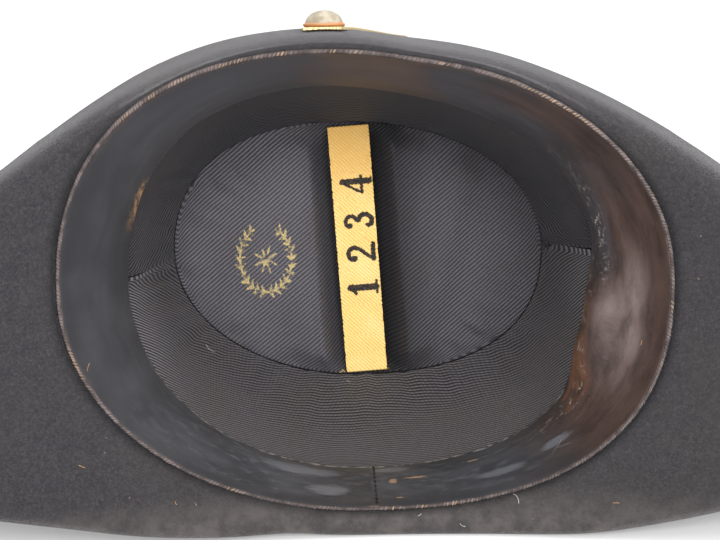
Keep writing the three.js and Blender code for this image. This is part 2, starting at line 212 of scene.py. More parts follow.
class Finish:
    """A material for one of the hat's stuffs, and the nodes that make it."""

    def __init__(self, name, fixed):
        self.material = bpy.data.materials.new(name)
        self.material.use_nodes = True
        self.tree = self.material.node_tree
        self.surface = self.tree.nodes["Principled BSDF"]
        self.set(fixed)

    def set(self, values):
        for name, value in values.items():
            self.feed(self.surface.inputs[name], value)

    def feed(self, socket, value):
        if isinstance(value, Tone):
            self.tree.links.new(value.socket, socket)
        elif isinstance(value, tuple) and socket.type == "RGBA":
            socket.default_value = (*value, 1)
        else:
            socket.default_value = value

    def node(self, kind, settings, inputs, output=0):
        made = self.tree.nodes.new(kind)
        for name, value in settings.items():
            setattr(made, name, value)
        for name, value in inputs.items():
            self.feed(made.inputs[name], value)
        return Tone(self, made.outputs[output])

    def place(self):
        return self.node("ShaderNodeTexCoord", {}, {}, "Object")

    def cloth(self):
        return self.node("ShaderNodeUVMap", {"uv_map": "cloth"}, {})

    def carried(self, name):
        return self.node("ShaderNodeAttribute", {"attribute_name": name}, {}, "Fac")

    def parts(self, vector):
        return [self.node("ShaderNodeSeparateXYZ", {}, {"Vector": vector}, axis) for axis in "XYZ"]

    def joined(self, x, y, z=0.0):
        return self.node("ShaderNodeCombineXYZ", {}, {"X": x, "Y": y, "Z": z})

    def cloud(self, vector, size, detail, roughness=0.5, twist=0.0):
        inputs = {"Vector": vector, "Scale": 1 / size, "Detail": detail, "Roughness": roughness}
        return self.node("ShaderNodeTexNoise", {}, {**inputs, "Distortion": twist})

    def cells(self, vector, size, output="Distance"):
        return self.node("ShaderNodeTexVoronoi", {}, {"Vector": vector, "Scale": 1 / size}, output)

    def mix(self, share, first, second, kind="MIX"):
        settings = {"data_type": "RGBA", "blend_type": kind}
        return self.node("ShaderNodeMix", settings, {0: share, 6: first, 7: second}, 2)

    def bump(self, height, distance, strength):
        inputs = {"Height": height, "Distance": distance, "Strength": strength}
        return self.node("ShaderNodeBump", {}, inputs)


# Black felt: a short matt nap, mottled with brown where it has faded, with specks of lint this far apart
SPECKS = 8 * MM


def felt_finish():
    felt = Finish("felt", {
        "Specular IOR Level": 0.1,
        "Sheen Weight": 0.28,
        "Sheen Roughness": 0.25,
        "Sheen Tint": (0.85, 0.83, 0.86),
    })
    place = felt.place()
    patches = felt.cloud(place, 42 * MM, 3)
    mottling = felt.cloud(place, 3.6 * MM, 4, 0.62)
    nap = felt.cloud(place, 0.9 * MM, 4, 0.75, 1.2)
    fibres = felt.cloud(place, 0.45 * MM, 3, 0.65, 2.0)
    colour = felt.mix(patches.step(0.36, 0.68), (0.0218, 0.021, 0.0238), (0.0274, 0.0248, 0.0247))
    colour = felt.mix(mottling.step(0.3, 0.76) * 0.6, colour, (0.034, 0.0322, 0.0336))
    colour = felt.mix(nap.step(0.42, 0.7) * 0.75, colour, (0.0545, 0.0517, 0.0545))
    dots = felt.cells(place, SPECKS).step(0.05, 0.028)
    some = felt.parts(felt.cells(place, SPECKS, "Color"))[0].step(0.66, 0.7)
    colour = felt.mix(dots * some * 0.6, colour, (0.2, 0.15, 0.1))
    _, forward, up = felt.parts(place)
    # Paler and browner low at the front, toward the floor: partly wear, partly painted light bounced up from
    # the floor
    paler_zone = up.step(22 * MM, 5 * MM) * forward.step(-10 * MM, -50 * MM)
    worn = felt.cloud(place, 8 * MM, 4, 0.65)
    colour = felt.mix(paler_zone * (0.3 + 0.7 * worn.step(0.34, 0.66)), colour, (0.078, 0.069, 0.066))
    # Painted shade in the groove beside the welt
    colour = felt.mix(felt.carried("groove_shade") * 0.5, colour, (0.005, 0.005, 0.006))
    height = nap * 0.8 + fibres * 0.6 + mottling * 0.4
    felt.set({
        "Base Color": colour,
        "Roughness": 0.92,
        "Normal": felt.bump(height, 0.5 * MM, 0.9),
    })
    return felt.material


# Marks on the sweatband, in millimetres: their middles along and across it, and half their sizes
BAND_SPOTS = [
    {"along": 5.2, "across": 24, "half_along": 1.4, "half_across": 2.4},
    {"along": 13, "across": 26, "half_along": 3.4, "half_across": 0.9},
    {"along": 33, "across": 33, "half_along": 2.2, "half_across": 0.6},
    {"along": 6.5, "across": 8, "half_along": 1.2, "half_across": 0.5},
]
BAND_PATCHES = [
    {"along": 544, "across": 15, "half_along": 7, "half_across": 4.5},
    {"along": 5, "across": 38, "half_along": 7, "half_across": 4},
    {"along": 533, "across": 33, "half_along": 14, "half_across": 5},
    {"along": 40, "across": 17, "half_along": 8, "half_across": 3},
    {"along": 61, "across": 20, "half_along": 6, "half_across": 2.5},
]
BAND_SCRATCHES = [
    {"along": 60, "across": 17, "lean": 38, "half": 4},
    {"along": 62, "across": 15, "lean": -28, "half": 3},
]


# Dyed leather, worn to brown at one end and polished there, its raw edges paler
class BandLeather(Finish):
    """The sweatband's finish, with a point's place on the band and the grain there."""

    def __init__(self):
        super().__init__("leather", {"Specular IOR Level": 0.45, "Coat Roughness": 0.3})
        self.along, self.across, _ = self.parts(self.cloth())
        self.turns = self.along / BAND_LENGTH
        self.share = self.across / BAND_HEIGHT
        level = self.drawn_out(1)
        self.flow = self.drawn_out(0.35)
        self.streaks = self.cloud(self.flow, 2 * MM, 4, 0.65)
        self.blotches = self.cloud(self.flow, 9 * MM, 4, 0.6)
        self.clouds = self.cloud(level, 26 * MM, 3)
        self.fray = self.cloud(level, 3.2 * MM, 4, 0.7)
        self.crumbs = self.cloud(level, 0.9 * MM, 3, 0.7)
        self.uneven_turns = self.turns + (self.clouds - 0.5) * 0.07
        self.end = self.uneven_turns.span(0.07, 0.14, 0.29, 0.38)
        self.top = self.turns.span(0.34, 0.42, 0.6, 0.68)
        self.bottom = self.turns.step(0.8, 0.92).most(self.turns.step(0.13, 0.05))
        self.raw = self.share.step(0.018, 0.008)

    def drawn_out(self, share):
        """The band's flat coordinates, for a grain that runs along it."""
        return self.joined(self.along * share, self.across)

    def dyed(self):
        """Black, faded to brown at the worn end, with dull, dark and rusty parts, and a painted highlight on
        the worn end.
        """
        upper_end = self.uneven_turns.span(0.26, 0.31, 0.39, 0.44) * self.share.step(0.6, 0.3) * 0.85
        crest = self.uneven_turns.span(0.44, 0.465, 0.505, 0.53) * 0.6
        strip = self.share.step(0.78, 0.88) * self.end
        upper_strip = (self.share + (self.blotches - 0.5) * 0.2).step(0.52, 0.66)
        upper_strip = upper_strip * self.turns.span(0.22, 0.27, 0.38, 0.43)
        # Painted highlight: a pale, hazy patch midway up the worn end, where the leather bulges
        painted_highlight = self.turns.span(0.14, 0.2, 0.22, 0.28) * self.share.span(0.16, 0.4, 0.44, 0.64)
        painted_highlight = painted_highlight * (0.35 + 0.65 * self.blotches.step(0.3, 0.65)) * (0.7 + 0.6 * self.crumbs)
        rusty = self.turns.span(0.1, 0.14, 0.2, 0.23) * self.share.span(0.56, 0.7, 0.8, 0.9)
        brown = self.mix(self.blotches.step(0.3, 0.7), (0.019, 0.0107, 0.0095), (0.06, 0.0345, 0.0285))
        brown = self.mix(self.crumbs.step(0.45, 0.75) * 0.4, brown, (0.09, 0.06, 0.052))
        black = self.mix(self.clouds.step(0.35, 0.7), (0.022, 0.0225, 0.027), (0.036, 0.0365, 0.042))
        black = self.mix(self.top * (0.3 + 0.4 * self.blotches), black, (0.06, 0.06, 0.07))
        colour = self.mix(self.end.most(crest).most(upper_end), black, brown)
        colour = self.mix(crest * 0.7, colour, (0.095, 0.066, 0.058))
        colour = self.mix(painted_highlight * 0.75, colour, (0.18, 0.137, 0.13))
        colour = self.mix(strip * 0.9, colour, (0.017, 0.0172, 0.021))
        colour = self.mix(upper_strip * 0.85, colour, (0.027, 0.0275, 0.034))
        return self.mix(rusty * self.blotches.step(0.42, 0.56) * 0.8, colour, (0.13, 0.05, 0.022))

    def off_mark(self, mark):
        """How far a point is from a mark's middle, squared, with 1 at the mark's edge."""
        x = (self.along - mark["along"] * MM) / (mark["half_along"] * MM)
        y = (self.across - mark["across"] * MM) / (mark["half_across"] * MM)
        return x * x + y * y

    def scuffs(self):
        smears = self.cloud(self.drawn_out(0.4), 12 * MM, 4, 0.6).step(0.4, 0.75)
        grime = self.cloud(self.drawn_out(0.6), 3.5 * MM, 4, 0.65).step(0.46, 0.7)
        scuffed = (smears * 0.5).most(grime * 0.6) * self.bottom
        for patch in BAND_PATCHES:
            scuffed = scuffed.most((self.off_mark(patch) + (self.streaks - 0.5) * 2.4).step(1.5, 0.3))
        return scuffed * self.share.step(0.06, 0.2)

    def cracks(self):
        lines = (self.cloud(self.flow, 2.6 * MM, 4, 0.6) - 0.5).size().step(0.035, 0.0)
        return lines * self.share.span(0.58, 0.68, 0.74, 0.84) * self.end * self.fray.step(0.46, 0.62)

    def spotted(self, colour):
        for spot in BAND_SPOTS:
            mark = (self.off_mark(spot) + (self.crumbs - 0.5) * 5).step(1.3, 0.5)
            colour = self.mix(mark * 0.75, colour, (0.3, 0.19, 0.11))
        return colour

    def scratched(self, colour):
        for scratch in BAND_SCRATCHES:
            lean = math.radians(scratch["lean"])
            x = self.along - scratch["along"] * MM
            y = self.across - scratch["across"] * MM
            length = (x * math.cos(lean) + y * math.sin(lean)).size() - scratch["half"] * MM
            off = (y * math.cos(lean) - x * math.sin(lean) + (self.blotches - 0.5) * (2 * MM)).size()
            mark = off.step(0.45 * MM, 0.1 * MM) * length.step(0.6 * MM, -1.5 * MM)
            colour = self.mix(mark * 0.25 * self.streaks.step(0.3, 0.6), colour, (0.3, 0.29, 0.29))
        return colour

    def edged(self, colour):
        """The raw stitched edge, its worn top, and the pale and tan parts of the free edge."""
        raw_colour = self.mix(self.fray.step(0.42, 0.62), (0.05, 0.038, 0.035), (0.16, 0.1, 0.07))
        colour = self.mix(self.raw, colour, raw_colour)
        top_wear = self.top * self.share.step(0.1, 0.03) * self.crumbs.step(0.5, 0.62)
        colour = self.mix(top_wear * 0.7, colour, (0.2, 0.115, 0.07))
        low_end = self.turns.span(0.1, 0.14, 0.2, 0.24)
        lip = self.share.step(0.925, 0.96) * self.fray.step(0.44, 0.6)
        colour = self.mix(lip * (0.14 + 0.6 * self.bottom.most(low_end)), colour, (0.44, 0.38, 0.33))
        tan_lip = self.turns.span(0.655, 0.67, 0.69, 0.71) * self.share.step(0.76, 0.92)
        return self.mix(tan_lip * self.fray.step(0.46, 0.56), colour, (0.34, 0.19, 0.09))


def leather_finish():
    leather = BandLeather()
    scuffed = leather.scuffs()
    cracked = leather.cracks()
    paler_zone = leather.streaks.step(0.62, 0.78) * (0.05 + 0.16 * leather.end * leather.share.step(0.35, 0.6))
    colour = leather.mix(scuffed * 0.7, leather.dyed(), (0.115, 0.12, 0.137))
    colour = leather.mix(paler_zone, colour, (0.3, 0.24, 0.2))
    colour = leather.mix(cracked * 0.55, colour, (0.46, 0.4, 0.36))
    colour = leather.edged(leather.scratched(leather.spotted(colour)))
    polish = leather.end.most(scuffed * 0.7) * (1 - leather.raw)
    relief = (leather.streaks * 0.5 + leather.blotches * 0.7) * (0.2 + 0.5 * polish)
    leather.set({
        "Base Color": colour,
        "Roughness": 0.56 - 0.12 * polish + 0.1 * leather.crumbs * polish + 0.3 * leather.raw,
        "Coat Weight": 0.15 * polish,
        "Normal": leather.bump(relief + leather.crumbs * 0.12 + cracked * 0.4, 0.5 * MM, 0.75),
    })
    return leather.material


# Ribs of the lining: their pitch and slant, where a rib starts and fills, and how far it drifts
SIDE_RIBS = {"pitch": 1.6 * MM, "angle": 0, "filled": (0.3, 0.8)}
TIP_RIBS = {"pitch": 1.38 * MM, "angle": math.radians(40), "filled": (0.2, 0.85)}
RIB_DRIFT = {"size": 18 * MM, "amount": 0.7}


# Ribs of a twill: how far across the rib a point is, and how far along its yarns
def twill(finish, vector, pitch, angle, yarn):
    x, y, _ = finish.parts(vector)
    drift = finish.cloud(vector, RIB_DRIFT["size"], 2) - 0.5
    over = (y * math.cos(angle) - x * math.sin(angle)) / pitch + drift * RIB_DRIFT["amount"]
    along = (x * math.cos(angle) + y * math.sin(angle)) / yarn
    rib = over.wave()
    knots = (along + 0.5 * over.floor()).wave()
    return rib, knots


# Tones of the lining: between and on its ribs, where these are faded, and toward the ends of a panel, where
# they are painted light
TIP_TONES = {
    "dark": (0.038, 0.0358, 0.0412),
    "light": (0.113, 0.107, 0.121),
    "tan": (0.103, 0.095, 0.102),
    "ends": (0.113, 0.107, 0.121),
}
# Upper panel: a darker copy of the same twill, painted shade on the panel that faces down
SHADED_UPPER_TONES = {
    "dark": (0.0065, 0.0063, 0.0075),
    "light": (0.064, 0.061, 0.069),
    "tan": (0.07, 0.059, 0.056),
    "ends": (0.066, 0.061, 0.067),
}
# Lower panel: a paler copy of the same twill, painted light on the panel that faces up, paler still at its
# ends
LIT_LOWER_TONES = {
    "dark": (0.013, 0.0122, 0.0138),
    "light": (0.116, 0.105, 0.111),
    "tan": (0.117, 0.1, 0.094),
    "ends": (0.22, 0.207, 0.22),
}
PANEL_ENDS = (60 * MM, 100 * MM)


# Black twill with ribs that catch the light, dusty and a little faded: the finish and its colour
def lining_finish(name, ribs, tones):
    lining = Finish(name, {
        "Specular IOR Level": 0.25,
        "Sheen Weight": 0.1,
        "Sheen Roughness": 0.4,
        "Sheen Tint": (0.7, 0.68, 0.74),
    })
    cloth = lining.cloth()
    slubs = lining.cloud(cloth, 1.5 * MM, 3, 0.6)
    rib, knots = twill(lining, cloth, ribs["pitch"], ribs["angle"], ribs["pitch"] * 0.75)
    faded = lining.cloud(cloth, 20 * MM, 3)
    top = lining.mix(faded.step(0.4, 0.7), tones["light"], tones["tan"])
    # Painted light: paler toward the ends of a panel, strongly so on the lower panel's far sides
    out = lining.parts(cloth)[0].size()
    top = lining.mix(out.step(*PANEL_ENDS), top, tones["ends"])
    ribbed = (rib + (slubs - 0.5) * 0.5).step(*ribs["filled"])
    colour = lining.mix(ribbed * (0.46 + 0.42 * knots + 0.4 * slubs), tones["dark"], top)
    lining.set({
        "Base Color": colour,
        "Roughness": 0.72 - 0.12 * rib,
        "Normal": lining.bump(rib + 0.3 * knots * rib + 0.4 * slubs, 0.35 * MM, 0.8),
    })
    return lining, colour


def side_finish(name, tones):
    side, _ = lining_finish(name, SIDE_RIBS, tones)
    return side.material


# A plain wreath round a star in worn gilt, pressed on one lobe of the tip
WREATH = {"x": -38 * MM, "z": -2 * MM, "half_width": 10.5 * MM, "half_height": 13.5 * MM}
WREATH_LEAVES = 26
STAR_RAYS = 8


def wreath(tip):
    x, z, _ = tip.parts(tip.cloth())
    dx = (x - WREATH["x"]) / WREATH["half_width"]
    dz = (z - WREATH["z"]) / WREATH["half_height"]
    reach = (dx * dx + dz * dz) ** 0.5
    turn = dx.math("ARCTAN2", dx, dz * -1)
    slot = turn.size() * (WREATH_LEAVES / (2 * math.pi))
    place = slot - slot.floor() - 0.5
    out = (reach - 1) * 3.2
    lean = out.size() - place - 0.1
    leaf = (out * out * 0.5 + lean * lean * 5.5).step(0.5, 0.28)
    stem = (reach - 1).size().step(0.05, 0.025)
    below_gap = turn.size().step(2.75, 2.7)
    rays = (turn * (STAR_RAYS / (2 * math.pi))).wave()
    star = (reach - 0.16 - 0.3 * rays ** 3).step(0.03, -0.03)
    worn = tip.cloud(tip.cloth(), 2.4 * MM, 4, 0.7).step(0.38, 0.56)
    return (leaf.most(stem) * below_gap).most(star) * worn * 0.8


# Tip of the lining: painted shade in the valley beside the ribbon, darker toward the right, and painted shade
# where it turns into its seam
def tip_finish():
    tip, colour = lining_finish("tip_twill", TIP_RIBS, TIP_TONES)
    x, z, _ = tip.parts(tip.cloth())
    beside = off_ribbon(x, z).size()
    right = x.step(-4 * MM, 4 * MM)
    left_shade = beside.step(22 * MM, 8 * MM) * 0.5 * (1 - right)
    right_shade = beside.step(34 * MM, 10 * MM) * 0.82 * right
    # Painted shade in the valley beside the ribbon, and the tip darker toward the right
    valley_shade_darker_right = (1 - left_shade - right_shade) * (1.16 - 0.3 * x.step(-40 * MM, 40 * MM))
    colour = tip.mix(1.0, colour, tip.joined(valley_shade_darker_right, valley_shade_darker_right, valley_shade_darker_right), "MULTIPLY")
    colour = tip.mix(wreath(tip), colour, (0.52, 0.4, 0.17))
    # Painted shade where the cloth turns into its seam
    colour = tip.mix(tip.carried("seam_shade"), colour, (0.007, 0.007, 0.008))
    tip.set({"Base Color": colour})
    return tip.material


# Yellow twill ribbon with numerals stamped in dark ink
def ribbon_finish():
    ribbon = Finish("ribbon", {
        "Specular IOR Level": 0.3,
        "Sheen Weight": 0.1,
        "Sheen Tint": (1.0, 0.85, 0.5),
    })
    cloth = ribbon.cloth()
    rib, knots = twill(ribbon, cloth, 1.15 * MM, math.radians(-46), 0.9 * MM)
    up = ribbon.parts(cloth)[1]
    slubs = ribbon.cloud(cloth, 1.2 * MM, 3, 0.6)
    aged = ribbon.cloud(cloth, 16 * MM, 3)
    colour = ribbon.mix(rib.step(0.0, 0.7), (0.66, 0.41, 0.115), (0.79, 0.54, 0.19))
    colour = ribbon.mix(aged.step(0.4, 0.7) * 0.4, colour, (0.82, 0.62, 0.29))
    # Painted shade: darker and deeper yellow toward the ribbon's top, under the top of the opening
    colour = ribbon.mix(up.step(14 * MM, 50 * MM) * 0.75, colour, (0.64, 0.36, 0.09))
    soaked = ribbon.carried("ink") + (slubs - 0.5) * (1.1 * MM) - rib * (0.22 * MM)
    inked = soaked.step(0.12 * MM, -0.22 * MM) * (0.86 + 0.24 * slubs)
    colour = ribbon.mix(inked, colour, (0.006, 0.006, 0.009))
    ribbon.set({
        "Base Color": colour,
        "Roughness": 0.68,
        "Normal": ribbon.bump(rib + 0.3 * knots + 0.3 * slubs, 0.22 * MM, 0.8),
    })
    return ribbon.material


# Woven gilt braid: chevrons of metal thread, this far apart along and across it, and tarnish
CHEVRONS = (2.2 * MM, 1.6 * MM)


def braid_finish():
    braid = Finish("gilt_braid", {"Metallic": 0.85})
    cloth = braid.cloth()
    x, y, _ = braid.parts(cloth)
    chevron = (y / CHEVRONS[0] + x.size() / CHEVRONS[1]).wave()
    thread = (x / (0.55 * MM)).wave()
    tarnish = braid.cloud(cloth, 6 * MM, 4, 0.6)
    colour = braid.mix(chevron.step(0.1, 0.8), (0.4, 0.3, 0.13), (0.6, 0.5, 0.27))
    colour = braid.mix(tarnish.step(0.5, 0.8) * 0.5, colour, (0.42, 0.31, 0.14))
    braid.set({
        "Base Color": colour,
        "Roughness": 0.32 + 0.25 * tarnish,
        "Normal": braid.bump(chevron + 0.35 * thread, 0.25 * MM, 0.5),
    })
    return braid.material


# Gilt button, rubbed pale on top and brown in its groove
def gilt_finish(groove_height):
    gilt = Finish("gilt", {"Metallic": 0.5})
    place = gilt.place()
    height = gilt.parts(place)[2]
    pits = gilt.cloud(place, 1.1 * MM, 4, 0.7)
    wear = gilt.cloud(place, 3.2 * MM, 3)
    colour = gilt.mix(wear.step(0.35, 0.65), (0.25, 0.212, 0.15), (0.34, 0.305, 0.24))
    colour = gilt.mix(height.step(groove_height + 0.9 * MM, groove_height), colour, (0.4, 0.17, 0.06))
    gilt.set({
        "Base Color": colour,
        "Roughness": 0.5 + 0.2 * pits,
        "Normal": gilt.bump(pits, 0.12 * MM, 0.5),
    })
    return gilt.material


# Waxed thread and cord, mottled between two tones, and tan where they are worn
def thread_finish(name, dark, light):
    thread = Finish(name, {"Specular IOR Level": 0.3})
    place = thread.place()
    change = thread.cloud(place, 5 * MM, 3, 0.6)
    twist = thread.cloud(place, 0.5 * MM, 2)
    colour = thread.mix(change.step(0.38, 0.64), dark, light)
    colour = thread.mix(thread.carried("worn"), colour, (0.29, 0.19, 0.12))
    thread.set({"Base Color": colour, "Roughness": 0.7, "Normal": thread.bump(twist, 0.12 * MM, 0.6)})
    return thread.material


def floor_finish():
    floor = Finish("pale_floor", {
        "Specular IOR Level": 0.2,
        "Emission Color": (1.0, 1.0, 1.0),
        "Emission Strength": 0.2,
    })
    change = floor.cloud(floor.place(), 0.4, 2)
    floor.set({"Base Color": floor.mix(change, (0.57, 0.57, 0.58), (0.6, 0.6, 0.6)), "Roughness": 0.7})
    return floor.material


def finished(shape, name, finish):
    """An object at the origin with this mesh and finish, shaded smooth."""
    mesh = bpy.data.meshes.new(name)
    shape.to_mesh(mesh)
    shape.free()
    made = bpy.data.objects.new(name, mesh)
    bpy.context.scene.collection.objects.link(made)
    mesh.shade_smooth()
    mesh.materials.append(finish)
    return made


# A piece of the frame as its own mesh, its loose triangles merged and paired
def copy_of(node):
    shape = bmesh.new()
    shape.from_mesh(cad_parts[node].data)
    bmesh.ops.remove_doubles(shape, verts=shape.verts, dist=MM / 1000)
    bmesh.ops.join_triangles(
        shape,
        faces=shape.faces,
        angle_face_threshold=math.pi,
        angle_shape_threshold=math.pi,
        topology_influence=1,
    )
    return shape


# Rounds a piece by subdivision, then moves each of its points by a soft field
def rounded(piece, levels, field):
    modifier = piece.modifiers.new("rounding", "SUBSURF")
    modifier.levels = modifier.render_levels = levels
    bpy.context.view_layer.update()
    seen = piece.evaluated_get(bpy.context.evaluated_depsgraph_get())
    coarse = piece.data
    piece.data = bpy.data.meshes.new_from_object(seen)
    piece.data.name = piece.name
    piece.modifiers.clear()
    bpy.data.meshes.remove(coarse)
    for vertex in piece.data.vertices:
        vertex.co += field(vertex.co)
    piece.data.update()
    return piece


# Lays flat cloth coordinates, in metres, on a shape; each face's points are taken from its own middle
def lay_flat(shape, flat):
    layer = shape.loops.layers.uv.new("cloth")
    for face in shape.faces:
        middle = face.calc_center_median()
        for loop in face.loops:
            loop[layer].uv = flat(loop.vert.co, middle)


# Gives each point of a piece a value that its finish reads
def carry(piece, name, value_of):
    layer = piece.data.attributes.new(name, "FLOAT", "POINT")
    for vertex, carried in zip(piece.data.vertices, layer.data):
        carried.value = value_of(vertex)


# What a piece stands for: a node of the frame that it replaces, or sewing that is only in the scene
def replaced(piece, node):
    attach(piece, "root")
    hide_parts(node)
    return piece


def sewn(shape, name, finish):
    stitches = finished(shape, name, finish)
    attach(stitches, "root")
    return stitches


# Directions in the crown: the angle round its axis, the way to the axis and the way in
def crown_angle(place):
    return math.atan2(place.z / OPENING_HALF[1], place.x / OPENING_HALF[0])


def inward(place):
    local = TO_CROWN @ place
    way = Vector((-local.x * OPENING_HALF[1] / OPENING_HALF[0], 0, -local.z))
    return (FROM_CROWN.to_3x3() @ way).normalized()


INTO_CROWN = FROM_CROWN.to_3x3() @ Vector((0, 1, 0))


# Where a point of the sweatband lies: the angle from its seam, and its share of the band's height
def band_droop(x):
    return BAND_DROOP * (x / OPENING_HALF[0]) ** 2


def band_place(place):
    local = TO_CROWN @ place
    angle = turn_between(crown_angle(local), BAND_SEAM + math.pi) + math.pi
    return angle, (local.y + band_droop(local.x)) / BAND_HEIGHT


# Stitched edge of the sweatband: the middle of its first row, in order round the opening
def find_rim():
    def in_first_row(place):
        return abs(band_place(place)[1]) < 0.5 / BAND_ROWS

    shape = copy_of("sweatband")
    first_row = [vertex.co.copy() for vertex in shape.verts if in_first_row(vertex.co)]
    shape.free()
    first_row.sort(key=lambda place: crown_angle(TO_CROWN @ place))
    return [(first_row[i] + first_row[i + 1]) / 2 for i in range(0, len(first_row), 2)]


def on_loop(points, share):
    """Point and direction on a closed smooth line through points."""
    place = share % 1 * len(points)
    i = int(place)
    s = place - i
    a, b, c, d = (points[(i + k) % len(points)] for k in (-1, 0, 1, 2))
    bend = 2 * a - 5 * b + 4 * c - d
    twist = 3 * b - a - 3 * c + d
    point = 0.5 * (2 * b + (c - a) * s + bend * s**2 + twist * s**3)
    way = 0.5 * ((c - a) + 2 * bend * s + 3 * twist * s**2)
    return point, way.normalized()


def flattened(local):
    return Vector((local.x, 0, local.z))


def tree_of(places):
    tree = KDTree(len(places))
    for i, place in enumerate(places):
        tree.insert(place, i)
    tree.balance()
    return tree


# Line of the welt along the stitched edge, the depth of its steps, and the line seen along the crown
WELT_STEPS = 448
WELT_TOP = 1 * MM
rim_points = find_rim()
welt_places = [on_loop(rim_points, i / WELT_STEPS)[0] for i in range(WELT_STEPS)]
welt_depths = [(TO_CROWN @ place).y for place in welt_places]
welt_line = tree_of([flattened(TO_CROWN @ place) for place in welt_places])

# The felt rolls over the top of the opening: its front leans back with its height over the welt
ROLL = {"start": -2.8 * MM, "slope": 1.3, "height": 5.8 * MM, "depths": (30 * MM, 4 * MM)}


def on_top(local):
    return ease(local.z / OPENING_HALF[1], 0.35, 0.8)


def over_welt(local):
    """Height of a point over the welt, and the welt's step that is nearest to it."""
    level = flattened(local)
    nearest, i, off = welt_line.find(level)
    return math.copysign(off, level.length - nearest.length) - WELT_TOP, i


def rolled(place):
    local = TO_CROWN @ place
    height, i = over_welt(local)
    lean = ROLL["start"] + ROLL["slope"] * min(ROLL["height"], max(0, height))
    return INTO_CROWN * lean * on_top(local) * ease(local.y - welt_depths[i], *ROLL["depths"])


# The top of the opening sags a little, right of its middle, with the felt and leather there
SAG = {"x": 20 * MM, "width": 20 * MM, "depth": 1.25 * MM}


def sagged(place):
    local = TO_CROWN @ place
    return place - Vector((0, 0, SAG["depth"] * bell(local.x, SAG["x"], SAG["width"]) * on_top(local)))


# Rubs out the creases of the felt's front above the opening, and lifts it there, but less over the sag
SOFTENING = {"turns": 150, "from": 0.12, "clear": -0.2 * MM, "depth": 20 * MM}
LIFT = {"height": 0.7 * MM, "over_welt": (1 * MM, 7 * MM)}
DIP = {"x": 20 * MM, "width": 24 * MM, "depth": 0.7 * MM}


def soften(brim):
    def creased(place):
        local = TO_CROWN @ place
        height, i = over_welt(local)
        above = local.z > SOFTENING["from"] * OPENING_HALF[1] and height > SOFTENING["clear"]
        return above and local.y - welt_depths[i] < SOFTENING["depth"]

    shape = bmesh.new()
    shape.from_mesh(brim.data)
    soft = [vertex for vertex in shape.verts if creased(vertex.co)]
    for _ in range(SOFTENING["turns"]):
        bmesh.ops.smooth_vert(
            shape,
            verts=soft,
            factor=0.5,
            use_axis_x=True,
            use_axis_y=True,
            use_axis_z=True,
        )
    for vertex in soft:
        local = TO_CROWN @ vertex.co
        rise = LIFT["height"] - DIP["depth"] * bell(local.x, DIP["x"], DIP["width"])
        vertex.co.z += rise * ease(over_welt(local)[0], *LIFT["over_welt"]) * on_top(local)
    shape.to_mesh(brim.data)
    shape.free()


# Brim: soft unevenness, none near the head line, two rises of its front edge, and painted shade in the groove
# at the welt
BRIM_SWELLS = [
    {"size": 55 * MM, "seed": 1, "depth": 1.6 * MM},
    {"size": 22 * MM, "seed": 2, "depth": 0.5 * MM},
]
BRIM_RISES = [
    {"at": -95 * MM, "width": 52 * MM, "height": 3.6 * MM},
    {"at": -29 * MM, "width": 14 * MM, "height": 1.2 * MM},
]
BRIM_WAYS = [{"size": 70 * MM, "seed": seed, "depth": 0.5} for seed in (3, 4)]
FREE_BRIM = {"reach": (1.08, 1.35), "z": (1 * MM, 12 * MM)}
FRONT_EDGE = {"y": (0, -55 * MM), "z": (45 * MM, 6 * MM)}
GROOVE_SHADE = {"reach": (4.5 * MM, 1 * MM), "less_on_top": 0.8}


def make_brim(finish):
    def field(place):
        local = TO_CROWN @ place
        reach = math.hypot(local.x / OPENING_HALF[0], local.z / OPENING_HALF[1])
        free = ease(reach, *FREE_BRIM["reach"]) * ease(place.z, *FREE_BRIM["z"])
        uneven = sum(swell(place, row) for row in BRIM_SWELLS) * free
        aside, up = (swell(place, row) for row in BRIM_WAYS)
        way = Vector((aside, 1, up))
        on_edge = ease(place.z, *FRONT_EDGE["z"]) * ease(place.y, *FRONT_EDGE["y"])
        rise = humps(place.x, BRIM_RISES) * on_edge
        return way * uneven + Vector((0, 0, rise)) + rolled(place)

    brim = rounded(finished(copy_of("brim"), "brim_felt", finish), 2, field)
    soften(brim)
    for vertex in brim.data.vertices:
        vertex.co = sagged(vertex.co)
    welt = tree_of([sagged(place) for place in welt_places])

    # How far the painted shade in the groove beside the welt reaches, less on top
    def groove_shade(vertex):
        less = 1 - GROOVE_SHADE["less_on_top"] * on_top(TO_CROWN @ vertex.co)
        return ease(welt.find(vertex.co)[2], *GROOVE_SHADE["reach"]) * less

    carry(brim, "groove_shade", groove_shade)
    return replaced(brim, "brim")


# Crown: it swells outward behind the head line, clear of the lining
CROWN_SWELL = {"size": 40 * MM, "seed": 5, "depth": 1 * MM, "outward": 1.1 * MM, "depths": (20 * MM, 60 * MM)}


def make_crown(finish):
    def field(place):
        free = ease((TO_CROWN @ place).y, *CROWN_SWELL["depths"])
        return inward(place) * (swell(place, CROWN_SWELL) - CROWN_SWELL["outward"]) * free

    crown = rounded(finished(copy_of("crown"), "crown_felt", finish), 2, field)
    return replaced(crown, "crown")


# Sweatband: creases, deeper on its ridge, the open slit of its seam, and its wavering free edge
BAND_CREASES = [
    {"size": 0.35, "seed": 6, "depth": 1 * MM, "shares": (0.05, 0.4), "everywhere": 0.2, "on_ridge": 1.2},
    {"size": 0.12, "seed": 7, "depth": 1 * MM, "shares": (0.1, 0.5), "everywhere": 0.12, "on_ridge": 0.3},
]
BAND_SLIT = {"depth": 0.45 * MM, "width": math.radians(0.45)}
BAND_WAVER = {"size": 0.2, "seed": 8, "depth": 1.2 * MM}


